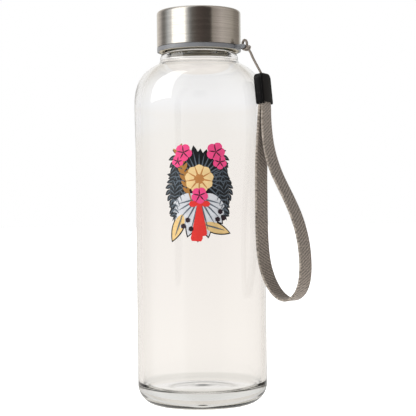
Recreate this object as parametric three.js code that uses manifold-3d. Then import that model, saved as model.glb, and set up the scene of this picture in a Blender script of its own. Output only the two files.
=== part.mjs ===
// A glass water bottle with a brushed steel screw cap and a woven wrist strap.
// Millimetres, +Z up. The origin is the centre of the base's standing plane; the strap hangs on the +X side.
import * as THREE from "three";
import { mergeVertices } from "three/addons/utils/BufferGeometryUtils.js";
import Module from "manifold-3d";

const wasm = await Module();
wasm.setup();

// ---------- driving dimensions ----------
const TOTAL_HEIGHT = 205; // standing plane to the top of the cap
const BODY_R = 33.85; // straight part of the glass body
const SHOULDER_R = 34.2; // slight swell where the shoulder begins
const WALL = 2.55; // glass wall of the body
const HEEL_R = 10.5; // rounding between body and base
const FLOOR_Z = 9.3; // inner floor of the glass
const FLOOR_CORNER = 3; // rounding between the inner floor and the wall
const SHOULDER_Z = 155; // where the shoulder starts to curve in
const NECK_R = 20.4; // bead under the cap
const FINISH_R = 17.7; // neck inside the cap, at the root of its thread
const BORE_R = 15.4; // mouth
const RIM_Z = 201.3; // sealing rim of the mouth

const PITCH = 4; // lift of the cap for one turn
const THREAD_TURNS = 1.75;
const THREAD_DEPTH = 1.1;
const THREAD_START_Z = 188.2; // lower end of the glass thread; the cap's thread starts half a pitch lower
const SKIN = 1.25; // top of the screw core, above its bore

const CAP_R = 22; // steel shell and swivel ring, outside
const CAP_CORNER = 1.6; // rounding between the shell's side and top
const SHEET = 0.45; // steel sheet of the shell
const SHELL_BOTTOM_Z = 186.2;
const CORE_BORE_R = 19.1; // inside of the screw core, at the root of its thread
const CORE_BOTTOM_Z = 183.9;
const GROOVE_DEPTH = 0.85; // wall between the core's bore and the groove that the ring turns in
const LIP = 0.95; // lip under the ring, out from the groove
const GASKET = { inner: 13.5, outer: 18.7, height: 1.35, gap: 0.15 };

const RING_H = 2.1; // height of the swivel ring and of its eye
const RING_SKIRT = 0.85; // thickness of the ring's skirt
const RING_WEB_H = 1.1; // height of the web that runs in the groove
const EYE_X = 26.6; // axis of the eye's bar, from the bottle's axis
const BAR_R = 0.6;
const SLOT_HALF = 1.2; // half of the eye's clear width
const EYE_HALF = 2.1; // half of the eye's outer width

const CORD_D = 0.9;
const STRAP_W = 10.2; // woven strap, flat width
const STRAP_T = 1.4;

const CLIP = { width: 11.4, depth: 5, height: 16, topR: 3, bottomR: 1.2, edge: 0.8 };
const CLIP_TOP = [35.95, 170.3]; // centre of the clip's top, x and z
const CLIP_LEAN = THREE.MathUtils.degToRad(5.4); // the clip's foot stands out from the glass by this lean
const CLIP_SEAM = 1.3; // seam between the clip's halves, from its middle plane towards the outside
const MOUTH = { x: 1.75, y: 4.95, top: -3.4 }; // half sizes of the clip's mouth, and its roof
const CRIMP = { x: 1.3, y: 4.6, low: -9.6, high: -4, sheet: 0.375 };

const LATHE_SEGMENTS = 40;
const EYE_Z = CORE_BOTTOM_Z + RING_H / 2;

// ---------- helpers ----------
// A geometry as a manifold solid, and back.
function solidOf(geometry) {
  const bare = geometry.clone();
  bare.deleteAttribute("normal");
  bare.deleteAttribute("uv");
  const merged = mergeVertices(bare, 1e-4);
  return new wasm.Manifold(
    new wasm.Mesh({
      numProp: 3,
      vertProperties: merged.attributes.position.array,
      triVerts: new Uint32Array(merged.index.array),
    }),
  );
}

function geometryOf(solid) {
  const mesh = solid.getMesh();
  const geometry = new THREE.BufferGeometry();
  geometry.setAttribute("position", new THREE.BufferAttribute(mesh.vertProperties, 3));
  geometry.setIndex(new THREE.BufferAttribute(mesh.triVerts, 1));
  geometry.computeVertexNormals();
  return geometry;
}

// Turns a profile of [radius, z] points round the Z axis.
function turned(profile, segments) {
  const points = profile.map(([r, z]) => new THREE.Vector2(r, z));
  return new THREE.LatheGeometry(points, segments).rotateX(Math.PI / 2);
}

// Points of a round stretch of a profile, from angle a to angle b in degrees.
function arc(r, z, radius, a, b, steps) {
  return Array.from({ length: steps + 1 }, (_, i) => {
    const t = THREE.MathUtils.degToRad(a + ((b - a) * i) / steps);
    return [r + radius * Math.cos(t), z + radius * Math.sin(t)];
  });
}

// Points of a smooth stretch of a profile through its own control points.
function bezier(controls, steps) {
  const points = controls.map(([r, z]) => new THREE.Vector2(r, z));
  const Curve = points.length === 4 ? THREE.CubicBezierCurve : THREE.QuadraticBezierCurve;
  return new Curve(...points).getPoints(steps).map((p) => [p.x, p.y]);
}

// A ring turned from a profile that closes on itself.
function ring(profile, segments) {
  return turned([...profile, profile[0]], segments);
}

// A box between two corners.
function box(low, high) {
  const size = high.map((v, i) => v - low[i]);
  const centre = high.map((v, i) => (v + low[i]) / 2);
  return new THREE.BoxGeometry(...size).translate(...centre);
}

// One turn-and-rise ridge of a right-hand thread, whose crest fades in and out at its ends.
function threadRidge(rootR, crestR, startZ) {
  const stepsPerTurn = 32;
  const steps = Math.round(THREAD_TURNS * stepsPerTurn);
  const foot = 0.85; // half width at the root
  const crest = 0.4; // half width at the crest
  const buried = (rootR - crestR) * 0.35; // how far the ridge reaches into its wall
  const positions = [];
  const index = [];
  for (let i = 0; i <= steps; i++) {
    const angle = (i / stepsPerTurn) * 2 * Math.PI;
    const z = startZ + (i / stepsPerTurn) * PITCH;
    const fade = Math.min(1, i / 4 + 0.12, (steps - i) / 4 + 0.12);
    const r = rootR + (crestR - rootR) * fade;
    [
      [rootR + buried, -foot],
      [r, -crest],
      [r, crest],
      [rootR + buried, foot],
    ].forEach(([radius, dz]) => {
      positions.push(radius * Math.cos(angle), radius * Math.sin(angle), z + dz);
    });
  }
  const outward = crestR > rootR;
  const face = (a, b, c) => (outward ? index.push(a, b, c) : index.push(a, c, b));
  for (let i = 0; i < steps; i++) {
    for (let k = 0; k < 4; k++) {
      const a = i * 4 + k;
      const b = i * 4 + ((k + 1) % 4);
      face(a, a + 4, b);
      face(b, a + 4, b + 4);
    }
  }
  const last = steps * 4;
  face(0, 1, 2);
  face(0, 2, 3);
  face(last, last + 2, last + 1);
  face(last, last + 3, last + 2);
  const geometry = new THREE.BufferGeometry();
  geometry.setAttribute("position", new THREE.Float32BufferAttribute(positions, 3));
  geometry.setIndex(index);
  return geometry;
}

// A round tube along a route of [x, y, z] points.
function tube(route, diameter, steps) {
  const curve = new THREE.CatmullRomCurve3(route.map((p) => new THREE.Vector3(...p)));
  const section = new THREE.Shape();
  const sides = 8;
  for (let i = 0; i < sides; i++) {
    const t = (i / sides) * 2 * Math.PI;
    const at = [(diameter / 2) * Math.cos(t), (diameter / 2) * Math.sin(t)];
    i ? section.lineTo(...at) : section.moveTo(...at);
  }
  return new THREE.ExtrudeGeometry(section, { extrudePath: curve, steps, bevelEnabled: false });
}

// A flat band that follows a route of [x, z] points, with its width along Y.
function belt(route, thickness, width, steps) {
  const curve = new THREE.SplineCurve(route.map(([x, z]) => new THREE.Vector2(x, z)));
  const side = (sign) =>
    Array.from({ length: steps + 1 }, (_, i) => {
      const at = curve.getPointAt(i / steps);
      const along = curve.getTangentAt(i / steps);
      const out = new THREE.Vector2(-along.y, along.x).multiplyScalar((sign * thickness) / 2);
      return at.add(out);
    });
  const outline = new THREE.Shape([...side(1), ...side(-1).reverse()]);
  const geometry = new THREE.ExtrudeGeometry(outline, { depth: width, bevelEnabled: false });
  return geometry.rotateX(Math.PI / 2).translate(0, width / 2, 0);
}

// An outline with round corners in the YZ plane, thickened along X and with soft edges.
function pillow({ width, depth, height, topR, bottomR, edge }) {
  const w = width / 2 - edge;
  const top = -edge;
  const foot = -height + edge;
  const upper = topR - edge;
  const lower = bottomR - edge;
  const outline = new THREE.Shape();
  outline.moveTo(w, foot + lower);
  outline.lineTo(w, top - upper);
  outline.absarc(w - upper, top - upper, upper, 0, Math.PI / 2, false);
  outline.lineTo(-w + upper, top);
  outline.absarc(-w + upper, top - upper, upper, Math.PI / 2, Math.PI, false);
  outline.lineTo(-w, foot + lower);
  outline.absarc(-w + lower, foot + lower, lower, Math.PI, Math.PI * 1.5, false);
  outline.lineTo(w - lower, foot);
  outline.absarc(w - lower, foot + lower, lower, Math.PI * 1.5, Math.PI * 2, false);
  const geometry = new THREE.ExtrudeGeometry(outline, {
    depth: depth - 2 * edge,
    bevelThickness: edge,
    bevelSize: edge,
    bevelSegments: 3,
    curveSegments: 5,
  });
  geometry.translate(0, 0, -(depth - 2 * edge) / 2);
  return geometry.rotateX(Math.PI / 2).rotateZ(Math.PI / 2);
}

function meshOf(name, geometry, color, roughness, metalness, extra = {}) {
  const material = new THREE.MeshStandardMaterial({ color, roughness, metalness, ...extra });
  const mesh = new THREE.Mesh(geometry, material);
  mesh.name = name;
  return mesh;
}

// ---------- glass ----------
function glassBottle() {
  const innerR = BODY_R - WALL;
  const outside = [
    [0, 1.5],
    [14, 1.3],
    [18.5, 0],
    ...arc(BODY_R - HEEL_R, HEEL_R, HEEL_R, -90, 0, 8),
    [BODY_R, 130],
    ...bezier(
      [
        [SHOULDER_R, SHOULDER_Z],
        [SHOULDER_R, 167],
        [30.6, 172.9],
        [22.6, 176.9],
      ],
      10,
    ),
    ...bezier(
      [
        [22.1, 177.15],
        [NECK_R + 0.1, 178],
        [NECK_R, 179.6],
      ],
      3,
    ),
    [NECK_R - 0.1, 181.2],
    [NECK_R - 0.5, 182.2],
    [NECK_R - 1.3, 182.8],
    [FINISH_R, 183.3],
  ];
  const rim = [
    ...arc(FINISH_R - 0.8, RIM_Z - 0.8, 0.8, 0, 90, 3),
    ...arc(BORE_R + 0.5, RIM_Z - 0.5, 0.5, 90, 180, 2),
  ];
  const inside = [
    [BORE_R, 184.6],
    ...bezier(
      [
        [BORE_R + 0.6, 182.8],
        [18.1, 181.3],
        [18.1, 178.6],
      ],
      3,
    ),
    ...bezier(
      [
        [19, 176],
        [27.9, 171.4],
        [innerR + 0.1, 165],
        [innerR + 0.1, SHOULDER_Z - 1],
      ],
      9,
    ),
    [innerR, 130],
    ...arc(innerR - FLOOR_CORNER, FLOOR_Z + FLOOR_CORNER, FLOOR_CORNER, 0, -90, 6),
    [6, FLOOR_Z],
    [0, FLOOR_Z + 0.3],
  ];
  const blank = solidOf(turned([...outside, ...rim, ...inside], LATHE_SEGMENTS));
  const ridge = solidOf(threadRidge(FINISH_R, FINISH_R + THREAD_DEPTH, THREAD_START_Z));
  return meshOf("glass_bottle", geometryOf(blank.add(ridge)), 0xe9ece8, 0.02, 0, {
    transparent: true,
    opacity: 0.35,
  });
}

// ---------- cap ----------
function capShell() {
  const corner = CAP_CORNER;
  const top = TOTAL_HEIGHT;
  const profile = [
    [CAP_R - SHEET, SHELL_BOTTOM_Z],
    [CAP_R, SHELL_BOTTOM_Z],
    ...arc(CAP_R - corner, top - corner, corner, 0, 90, 5),
    [0, top],
    [0, top - SHEET],
    ...arc(CAP_R - corner, top - corner, corner - SHEET, 90, 0, 4),
  ];
  return meshOf("cap_shell", ring(profile, LATHE_SEGMENTS), 0xa8a39b, 0.32, 1);
}

function capCore() {
  const topZ = TOTAL_HEIGHT - SHEET - 0.2;
  const outerR = CAP_R - SHEET - 0.25;
  const grooveR = CORE_BORE_R + GROOVE_DEPTH;
  const profile = [
    [0, topZ - SKIN],
    [CORE_BORE_R, topZ - SKIN],
    [CORE_BORE_R, CORE_BOTTOM_Z],
    [grooveR + LIP, CORE_BOTTOM_Z],
    [grooveR + LIP, CORE_BOTTOM_Z + 0.7],
    [grooveR, CORE_BOTTOM_Z + 0.8],
    [grooveR, SHELL_BOTTOM_Z + 0.1],
    [outerR, SHELL_BOTTOM_Z + 0.1],
    [outerR, topZ - 1.4],
    [outerR - 1.4, topZ],
    [0, topZ],
  ];
  const blank = solidOf(turned(profile, LATHE_SEGMENTS));
  const start = THREAD_START_Z - PITCH / 2;
  const ridge = solidOf(threadRidge(CORE_BORE_R, CORE_BORE_R - THREAD_DEPTH, start));
  return meshOf("cap_core", geometryOf(blank.add(ridge)), 0x9fa1a6, 0.5, 0);
}

function capGasket() {
  const low = RIM_Z + GASKET.gap;
  const high = low + GASKET.height;
  const profile = [
    [GASKET.inner, low],
    [GASKET.outer, low],
    [GASKET.outer, high],
    [GASKET.inner, high],
  ];
  return meshOf("cap_gasket", ring(profile, LATHE_SEGMENTS), 0xe8e8e4, 0.6, 0);
}

function swivelRing() {
  const webR = CORE_BORE_R + GROOVE_DEPTH + 0.2;
  const skirtR = CAP_R - RING_SKIRT;
  const low = CORE_BOTTOM_Z;
  const high = low + RING_H;
  const profile = [
    [webR, high - RING_WEB_H],
    [skirtR, high - RING_WEB_H],
    [skirtR, low],
    [CAP_R, low],
    [CAP_R, high],
    [webR, high],
  ];
  const band = solidOf(ring(profile, 48));
  const noseR = RING_H / 2 - 0.15;
  const arm = new THREE.Shape();
  arm.moveTo(skirtR + 0.2, -RING_H / 2);
  arm.lineTo(EYE_X - 1.5, -RING_H / 2);
  arm.lineTo(EYE_X, -noseR);
  arm.absarc(EYE_X, 0, noseR, -Math.PI / 2, Math.PI / 2, false);
  arm.lineTo(EYE_X - 1.5, RING_H / 2);
  arm.lineTo(skirtR + 0.2, RING_H / 2);
  const thickness = EYE_HALF - SLOT_HALF;
  const armAt = (y) =>
    solidOf(
      new THREE.ExtrudeGeometry(arm, { depth: thickness, bevelEnabled: false, curveSegments: 10 })
        .rotateX(Math.PI / 2)
        .translate(0, y + thickness, EYE_Z),
    );
  const bar = solidOf(
    new THREE.CylinderGeometry(BAR_R, BAR_R, 2 * SLOT_HALF + 0.6, 16).translate(EYE_X, 0, EYE_Z),
  );
  const whole = band.add(armAt(SLOT_HALF)).add(armAt(-EYE_HALF)).add(bar);
  return meshOf("swivel_ring", geometryOf(whole), 0x85858a, 0.45, 0);
}

// ---------- strap ----------
// A lark's head: up the outside of the bar, over it, down through the eye, out below it and across the
// front of both strands, then the same way back. Only the first half is listed; the second is its mirror.
const HITCH_HALF = [
  [35.6, -0.48, 170.6],
  [34.75, -0.48, 172.2],
  [34, -0.48, 173.5],
  [32.5, -0.48, 176.2],
  [31.1, -0.48, 178.8],
  [29.9, -0.48, 181.4],
  [28.6, -0.48, 183.7],
  [27.85, -0.48, 185.2],
  [27.75, -0.5, 186.8],
  [27.25, -0.5, 188],
  [26.6, -0.5, 188.35],
  [25.9, -0.5, 187.9],
  [25.4, -0.5, 186.6],
  [25.35, -0.5, 184.9],
  [25.75, -0.65, 183.7],
  [26.7, -1.15, 183.15],
  [27.8, -1.5, 183.35],
  [28.65, -1.5, 184],
  [29.1, -1, 184.7],
];
const HITCH_ROUTE = [
  ...HITCH_HALF,
  [29.2, 0, 184.9],
  ...HITCH_HALF.map(([x, y, z]) => [x, -y, z]).reverse(),
];

function hitchCord() {
  return meshOf("hitch_cord", tube(HITCH_ROUTE, CORD_D, 80), 0x8d8178, 0.85, 0);
}

// The clip is made about the centre of its top, then stood against the shoulder with its lean.
function clipPlaced(...meshes) {
  const group = new THREE.Group();
  group.position.set(CLIP_TOP[0], 0, CLIP_TOP[1]);
  group.rotation.y = -CLIP_LEAN;
  group.add(...meshes);
  return group;
}

function clipHalves() {
  const cavity = solidOf(box([-MOUTH.x, -MOUTH.y, -CLIP.height - 1], [MOUTH.x, MOUTH.y, MOUTH.top]));
  const hole = solidOf(box([-0.9, -1.4, MOUTH.top - 1], [0.9, 1.4, 1]));
  const hollowed = solidOf(pillow(CLIP)).subtract(cavity).subtract(hole);
  const reach = 20;
  const innerSide = solidOf(box([-reach, -reach, -reach], [CLIP_SEAM - 0.1, reach, reach]));
  const outerSide = solidOf(box([CLIP_SEAM + 0.15, -reach, -reach], [reach, reach, reach]));
  return [
    meshOf("clip_inner_half", geometryOf(hollowed.intersect(innerSide)), 0x1e1d1d, 0.4, 0),
    meshOf("clip_outer_half", geometryOf(hollowed.intersect(outerSide)), 0x1e1d1d, 0.4, 0),
  ];
}

// The folded steel collar that grips both ends of the strap and both ends of the cord.
function strapCrimp() {
  const { x, y, low, high, sheet } = CRIMP;
  const outer = solidOf(box([-x, -y, low], [x, y, high]));
  const inner = solidOf(box([sheet - x, sheet - y, low - 1], [x - sheet, y - sheet, high + 1]));
  return meshOf("strap_crimp", geometryOf(outer.subtract(inner)), 0xb8b8b6, 0.35, 1);
}

// The free loop, from the clip's mouth down beside the glass, round the bottom and back up outside.
const STRAP_ROUTE = [
  [36.5, 156.5],
  [36.5, 152.6],
  [36.15, 148],
  [35.85, 142],
  [35.55, 136],
  [35.25, 128],
  [35.0, 118],
  [34.95, 106],
  [34.95, 95],
  [35.15, 86],
  [35.75, 78],
  [37.2, 70.5],
  [39.9, 63.6],
  [43.6, 58.3],
  [47.9, 55.5],
  [52.1, 55.6],
  [55.7, 58.6],
  [57.9, 63.6],
  [58.8, 70],
  [58.7, 77],
  [57.9, 84],
  [56.2, 91.5],
  [53.6, 99],
  [50.3, 106.2],
  [46.8, 113],
  [43.5, 119.8],
  [40.9, 127],
  [39.3, 134],
  [38.5, 141],
  [38.15, 148],
  [38.2, 152.6],
  [38, 156.5],
];

function webbingStrap() {
  const loop = solidOf(belt(STRAP_ROUTE, STRAP_T, STRAP_W - 0.6, 76));
  // Both ends lie face to face inside the clip, pressed thin and narrow where the crimp holds them.
  const lean = new THREE.Matrix4()
    .makeRotationY(-CLIP_LEAN)
    .setPosition(CLIP_TOP[0], 0, CLIP_TOP[1]);
  const tail = solidOf(box([-1.3, -4.6, -14], [1.3, 4.6, -10]).applyMatrix4(lean));
  const gripped = solidOf(box([-0.75, -4, -10.5], [0.75, 4, -6]).applyMatrix4(lean));
  return meshOf("webbing_strap", geometryOf(loop.add(tail).add(gripped)), 0x7e756d, 0.9, 0);
}

// ---------- assembly ----------
const bottle = new THREE.Group();
bottle.add(glassBottle());
const cap = new THREE.Group();
cap.add(capShell(), capCore(), capGasket(), swivelRing());
const strap = new THREE.Group();
strap.add(hitchCord(), clipPlaced(...clipHalves(), strapCrimp()), webbingStrap());

const part = new THREE.Group();
part.add(bottle, cap, strap);

export default part;
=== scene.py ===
"""A glass water bottle with a brushed steel screw cap, a swivel ring and a woven wrist strap.

Metres, +Z up, in the frame of the loaded model: the origin is the middle of the standing plane, and the
strap hangs on the +X side. Outlines are written in millimetres and turned to metres where a mesh is made.
"""

import math

import bmesh
import bpy
from mathutils import Matrix, Vector


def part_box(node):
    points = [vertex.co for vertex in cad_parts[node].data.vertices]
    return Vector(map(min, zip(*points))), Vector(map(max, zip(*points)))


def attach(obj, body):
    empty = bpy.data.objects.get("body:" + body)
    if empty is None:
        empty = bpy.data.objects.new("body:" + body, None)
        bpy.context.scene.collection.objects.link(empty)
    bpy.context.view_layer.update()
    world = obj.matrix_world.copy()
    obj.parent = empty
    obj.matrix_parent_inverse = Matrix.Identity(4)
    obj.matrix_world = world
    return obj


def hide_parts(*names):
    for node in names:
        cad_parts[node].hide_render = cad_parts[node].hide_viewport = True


bl_info = {
    "name": "Glass Water Bottle",
    "version": (1, 0, 0),
    "blender": (4, 5, 0),
    "location": "3D View > Sidebar > Bottle",
    "description": "Builds a glass water bottle with a steel cap and a woven strap around its packed model",
    "category": "Object",
}

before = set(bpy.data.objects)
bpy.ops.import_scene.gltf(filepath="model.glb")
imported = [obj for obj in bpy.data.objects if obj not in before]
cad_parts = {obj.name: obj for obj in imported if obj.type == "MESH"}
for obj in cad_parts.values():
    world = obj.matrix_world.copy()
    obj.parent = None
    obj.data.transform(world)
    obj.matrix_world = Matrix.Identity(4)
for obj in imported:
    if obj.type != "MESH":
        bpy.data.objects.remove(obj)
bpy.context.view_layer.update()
MM = 0.001


def top_of(node):
    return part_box(node)[1][2] / MM


def radius_of(node):
    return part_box(node)[1][1] / MM


# ---------- driving sizes, millimetres ----------
TOTAL_HEIGHT = top_of("cap_shell")
CAP_R = radius_of("cap_shell")
BODY_R = 33.85  # straight part of the body
SHOULDER_R = 34.2  # slight swell where the shoulder begins
WALL = 2.55
HEEL_R = 10.5
FLOOR_Z = 9.3  # inner floor
FLOOR_CORNER = 3.0
SHOULDER_Z = 155.0
NECK_R = 20.4  # bead under the cap
FINISH_R = 17.7  # neck at the root of its thread
BORE_R = 15.4
RIM_Z = 201.3

PITCH = 4.0  # rise of the thread in one turn
THREAD_TURNS = 1.75
THREAD_DEPTH = 1.1
THREAD_START_Z = 188.2

SHEET = 0.45  # steel of the shell
SHELL_BOTTOM_Z = 186.2
CORE_BORE_R = 19.1
CORE_BOTTOM_Z = 183.9

RING_H = 2.1
EYE_X = 26.6  # the eye's bar, from the bottle's axis
EYE_Z = CORE_BOTTOM_Z + RING_H / 2
BAR_R = 0.6
SLOT_HALF = 1.2
EYE_HALF = 2.1

CLIP_TOP = Vector((35.95, 0.0, 170.3))
CLIP_LEAN = math.radians(5.4)
CLIP_SEAM = 1.3  # seam between the halves, from the middle towards the outside

CAMERA_AZIMUTH = math.radians(27)
TO_CAMERA = Vector((math.sin(CAMERA_AZIMUTH), -math.cos(CAMERA_AZIMUTH), 0))
TO_RIGHT = Vector((math.cos(CAMERA_AZIMUTH), math.sin(CAMERA_AZIMUTH), 0))

TWILL_SLOPE = 0.55  # rise of a rib along the strap for each millimetre across it
SPIN_STEPS = 160
STEPS_BETWEEN = 24  # fine steps between two points of a route
INK_STEP = 0.0006  # each stamp of an ink lies this much over the one before, mm
EDGE_ROUNDING = 0.12
UV_SCALE = 100  # UV maps are in centimetres
UV_MM = UV_SCALE * MM

# A lark's head on the eye's bar: up the outside, over the bar, down through the eye, and across the front of
# both strands. The second half is the mirror of the first.
HITCH_HALF = [
    (35.6, -0.48, 170.6), (34.75, -0.48, 172.2), (34, -0.48, 173.5), (32.5, -0.48, 176.2),
    (31.1, -0.48, 178.8), (29.9, -0.48, 181.4), (28.6, -0.48, 183.7), (27.85, -0.48, 185.2),
    (27.75, -0.5, 186.8), (27.25, -0.5, 188), (26.6, -0.5, 188.35), (25.9, -0.5, 187.9),
    (25.4, -0.5, 186.6), (25.35, -0.5, 184.9), (25.75, -0.65, 183.7), (26.7, -1.15, 183.15),
    (27.8, -1.5, 183.35), (28.65, -1.5, 184), (29.1, -1, 184.7),
]
HITCH_ROUTE = [*HITCH_HALF, (29.2, 0, 184.9), *[(x, -y, z) for x, y, z in reversed(HITCH_HALF)]]

# The strap's loop: from the clip's mouth down beside the glass, round the bottom and back up outside.
STRAP_ROUTE = [
    (36.5, 0, 156.5), (36.5, 0, 152.6), (36.15, 0, 148), (35.85, 0, 142), (35.55, 0, 136),
    (35.25, 0, 128), (35.0, 0, 118), (34.95, 0, 106), (34.95, 0, 95), (35.15, 0, 86),
    (35.75, 0, 78), (37.2, 0, 70.5), (39.9, 0, 63.6), (43.6, 0, 58.3), (47.9, 0, 55.5),
    (52.1, 0, 55.6), (55.7, 0, 58.6), (57.9, 0, 63.6), (58.8, 0, 70), (58.7, 0, 77),
    (57.9, 0, 84), (56.2, 0, 91.5), (53.6, 0, 99), (50.3, 0, 106.2), (46.8, 0, 113),
    (43.5, 0, 119.8), (40.9, 0, 127), (39.3, 0, 134), (38.5, 0, 141), (38.15, 0, 148),
    (38.2, 0, 152.6), (38, 0, 156.5),
]


# ---------- settings ----------
def colour(name, description, value):
    """A colour setting given as an sRGB hex value."""
    return bpy.props.FloatVectorProperty(
        name=name, description=description, default=to_linear(value), size=4, min=0, max=1, subtype="COLOR"
    )


def length(name, description, millimetres):
    return bpy.props.FloatProperty(
        name=name, description=description, default=millimetres * MM, min=0, unit="LENGTH", subtype="DISTANCE"
    )


def to_linear(hex_value):
    """An sRGB hex value as linear red, green, blue and full alpha."""
    channels = [int(hex_value[i : i + 2], 16) / 255 for i in (1, 3, 5)]
    return (*[c / 12.92 if c <= 0.04045 else ((c + 0.055) / 1.055) ** 2.4 for c in channels], 1.0)


class BottleSizes(bpy.types.PropertyGroup):
    cord_diameter: length("Cord Diameter", "Diameter of the hitch cord", 0.9)
    cord_length: length("Cord Length", "Length of the hitch cord, clip to clip", 62)
    strap_width: length("Strap Width", "Width of the woven strap", 10.2)
    strap_thickness: length("Strap Thickness", "Thickness of the woven strap", 1.4)
    strap_length: length("Strap Length", "Length of the strap's free loop", 216.5)
    twill_pitch: length("Twill Pitch", "Distance from one diagonal rib of the weave to the next", 1.7)
    print_width: length("Print Width", "Width of the printed motif round the glass", 36)
    print_height: length("Print Height", "Height of the printed motif", 48.5)
    print_foot: length("Print Foot", "Height of the motif's lower end above the standing plane", 85.5)
    print_azimuth: bpy.props.FloatProperty(
        name="Print Azimuth",
        description="Direction that the motif faces, from straight ahead towards the strap",
        default=math.radians(25.5),
        subtype="ANGLE",
    )


class BottleColours(bpy.types.PropertyGroup):
    steel: colour("Steel", "Brushed stainless steel of the cap", "#CFC9C0")
    ring: colour("Ring", "Moulded plastic of the swivel ring", "#77787B")
    cord: colour("Cord", "Polyester of the hitch cord", "#8F8479")
    strap: colour("Strap", "Yarn of the woven strap", "#81766B")
    # Paler edge yarn, lightened further to stand in as a painted highlight along both edges of the strap.
    selvage: colour("Selvage", "Lighter yarn along the strap's edges", "#BDB4A8")
    clip: colour("Clip", "Moulded plastic of the clip", "#0E0D0D")
    leaf: colour("Leaf Ink", "Darkest ink of the printed motif", "#12171B")
    blossom: colour("Blossom Ink", "Pink ink of the printed motif", "#E8417F")
    ribbon: colour("Ribbon Ink", "Red ink of the printed motif", "#DC2A22")


def sizes():
    return bpy.context.scene.bottle_sizes


def colours():
    return bpy.context.scene.bottle_colours


# ---------- shape helpers ----------
def arc(r, z, radius, start, end, steps):
    """Points of a round stretch of a profile, between two angles in degrees."""
    turns = [math.radians(start + (end - start) * i / steps) for i in range(steps + 1)]
    return [(r + radius * math.cos(t), z + radius * math.sin(t)) for t in turns]


def bezier(controls, steps):
    """Points of a smooth stretch of a profile."""
    points = []
    for i in range(steps + 1):
        t = i / steps
        level = [Vector(c) for c in controls]
        while len(level) > 1:
            level = [a.lerp(b, t) for a, b in zip(level, level[1:])]
        points.append(tuple(level[0]))
    return points


def line(start, end, steps):
    return bezier([start, end], steps)


def smooth_route(points, spacing):
    """A Catmull-Rom curve through points in millimetres, as even steps in metres."""
    knots = [Vector(p) * MM for p in points]
    knots = [2 * knots[0] - knots[1], *knots, 2 * knots[-1] - knots[-2]]
    fine = []
    for a, b, c, d in zip(knots, knots[1:], knots[2:], knots[3:]):
        for i in range(STEPS_BETWEEN):
            t = i / STEPS_BETWEEN
            square, cube = (2 * a - 5 * b + 4 * c - d) * t**2, (3 * b - a - 3 * c + d) * t**3
            fine.append(0.5 * (2 * b + (c - a) * t + square + cube))
    fine.append(knots[-2])
    along = [0.0]
    for a, b in zip(fine, fine[1:]):
        along.append(along[-1] + (b - a).length)
    count = round(along[-1] / (spacing * MM))
    even, k = [], 0
    for i in range(count + 1):
        target = along[-1] * i / count
        while k < len(along) - 2 and along[k + 1] < target:
            k += 1
        even.append(fine[k].lerp(fine[k + 1], (target - along[k]) / (along[k + 1] - along[k])))
    return even


def clamped(value):
    return max(0.0, min(1.0, value))


def deselect():
    if bpy.context.object and bpy.context.object.mode != "OBJECT":
        leave_edit()
    bpy.ops.object.select_all(action="DESELECT")


def activate(piece):
    deselect()
    piece.select_set(True)
    bpy.context.view_layer.objects.active = piece
    return piece


def enter_edit(piece):
    """Opens a piece in edit mode with everything selected."""
    activate(piece)
    bpy.ops.object.mode_set(mode="EDIT")
    bpy.ops.mesh.select_all(action="SELECT")


def leave_edit():
    bpy.ops.object.mode_set(mode="OBJECT")


def new_piece(name):
    """Names the primitive that was just added, and opens it in edit mode."""
    piece = bpy.context.object
    piece.name = piece.data.name = name
    enter_edit(piece)
    return piece


def turned(name, profile, closed=False, steps=SPIN_STEPS):
    """Draws a profile of radius and height with extrusions, and spins it round the Z axis."""
    deselect()
    bpy.ops.mesh.primitive_plane_add(size=MM)
    piece = new_piece(name)
    bpy.ops.mesh.merge(type="CENTER")
    points = [Vector((r, 0, z)) * MM for r, z in profile]
    if closed:
        points.append(points[0])
    bpy.ops.transform.translate(value=points[0])
    for a, b in zip(points, points[1:]):
        bpy.ops.mesh.extrude_region_move(TRANSFORM_OT_translate={"value": b - a})
    bpy.ops.mesh.select_all(action="SELECT")
    bpy.ops.mesh.spin(steps=steps, angle=2 * math.pi, center=(0, 0, 0), axis=(0, 0, 1))
    bpy.ops.mesh.select_all(action="SELECT")
    bpy.ops.mesh.remove_doubles(threshold=1e-6)
    bpy.ops.mesh.normals_make_consistent(inside=False)
    leave_edit()
    return piece


def press_thread(piece, root, depth, start):
    """Raises one right-hand ridge on a round wall by moving its points out, or in where depth is negative."""
    foot, crest, fade_turns, tolerance = 0.85, 0.4, 0.12, 0.02
    for point in piece.data.vertices:
        radius = math.hypot(point.co.x, point.co.y) / MM
        if abs(radius - root) > tolerance:
            continue
        turn = (math.atan2(point.co.y, point.co.x) / (2 * math.pi)) % 1
        rise = 0.0
        for done in (turn, turn + 1):
            if done > THREAD_TURNS:
                continue
            away = abs(point.co.z / MM - start - done * PITCH)
            slope = clamped((foot - away) / (foot - crest))
            fade = min(1.0, done / fade_turns, (THREAD_TURNS - done) / fade_turns)
            rise = max(rise, slope * slope * (3 - 2 * slope) * fade)
        scale = (radius + depth * rise) / radius
        point.co.x *= scale
        point.co.y *= scale


def pick(piece, kind, test):
    """In edit mode, selects only the edges or faces whose middle passes the test."""
    bpy.ops.mesh.select_mode(type={"edges": "EDGE", "faces": "FACE"}[kind])
    bpy.ops.mesh.select_all(action="DESELECT")
    mesh = bmesh.from_edit_mesh(piece.data)
    for item in getattr(mesh, kind):
        corners = [v.co for v in item.verts]
        item.select_set(test(sum(corners, Vector()) / len(corners) / MM))
    bmesh.update_edit_mesh(piece.data)


def modified(piece, kind, **settings):
    """Adds a modifier and applies it."""
    activate(piece)
    modifier = piece.modifiers.new(kind.title(), kind)
    for name, value in settings.items():
        setattr(modifier, name, value)
    bpy.ops.object.modifier_apply(modifier=modifier.name)


def cut_or_join(piece, tool, operation):
    modified(piece, "BOOLEAN", object=tool, operation=operation, solver="EXACT")
    bpy.data.objects.remove(tool)


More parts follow.
